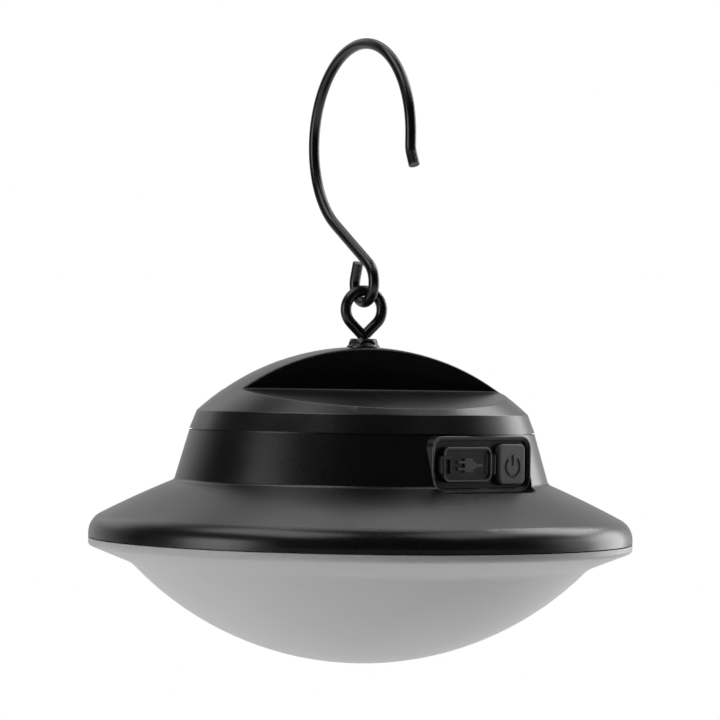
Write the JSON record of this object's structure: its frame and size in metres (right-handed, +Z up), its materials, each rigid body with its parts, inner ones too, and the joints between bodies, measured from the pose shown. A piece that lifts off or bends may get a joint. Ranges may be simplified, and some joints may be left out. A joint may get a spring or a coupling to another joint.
{
  "type": "camping lantern",
  "caption": "Saucer-shaped hanging lantern with an open wire hook linked to a top eye, a domed black cap, a rubber-covered charging port, a push button and a milky bowl diffuser",
  "frame": {"origin": "the underside of the wire hook's bow at its highest point, where the hook rests on what it hangs from; it lies on the lantern's turning axis", "axes": "+Z up along the lantern's turning axis; +X along the fin between the cap's two notches; -Y towards the notch seen from the front"},
  "size_m": [0.14, 0.14, 0.1613],
  "materials": {
    "black_wire": "satin black coating on bent steel wire",
    "steel": "zinc-plated steel fittings",
    "black_plastic": "moulded black plastic with a fine satin grain",
    "black_rubber": "soft matt black rubber",
    "milky_plastic": "translucent milky plastic, satin",
    "white_plastic": "white reflector plastic",
    "board_metal": "white-masked metal board",
    "board_resin": "green resin board",
    "led_resin": "yellow phosphor resin",
    "cell_metal": "plain film-wrapped cell"
  },
  "bodies": {
    "hook": {"hook": "black_wire"},
    "lantern": {"eye_bolt": "black_wire", "eye_collar_nut": "black_wire", "eye_washer": "steel", "eye_lock_nut": "steel", "top_cap": "black_plastic", "housing": "black_plastic", "flap_anchor": "black_rubber", "tact_switch": "black_plastic", "usb_socket": "steel", "usb_tongue": "black_plastic", "charge_board": "board_resin", "board_screws": "steel", "cap_screws": "steel", "led_plate_screws": "steel", "cap_gasket": "black_rubber", "diffuser_seal": "black_rubber", "diffuser": "milky_plastic", "led_plate": "white_plastic", "led_board": "board_metal", "leds": "led_resin", "battery_cells": "cell_metal", "cell_links": "steel", "battery_cradle": "black_plastic", "battery_strap": "steel", "strap_screws": "steel"},
    "flap": {"port_flap": "black_rubber"},
    "button": {"power_button": "black_plastic", "switch_plunger": "black_plastic"}
  },
  "joints": [
    {"name": "hook_swing", "type": "hinge", "parent": "hook", "child": "lantern", "pos_m": [0, 0, -0.06244], "axis": [1, 0, 0], "range_deg": [-80, 80]},
    {"name": "flap_hinge", "type": "hinge", "parent": "lantern", "child": "flap", "pos_m": [0.02124, -0.03907, -0.10594], "axis": [0, 0, 1], "range_deg": [0, 110], "stiffness_Nm_per_rad": 0.0004},
    {"name": "button_press", "type": "slide", "parent": "lantern", "child": "button", "axis": [-0.3987, 0.9171, 0], "range_m": [0, 0.0004], "stiffness_N_per_m": 4000}
  ]
}
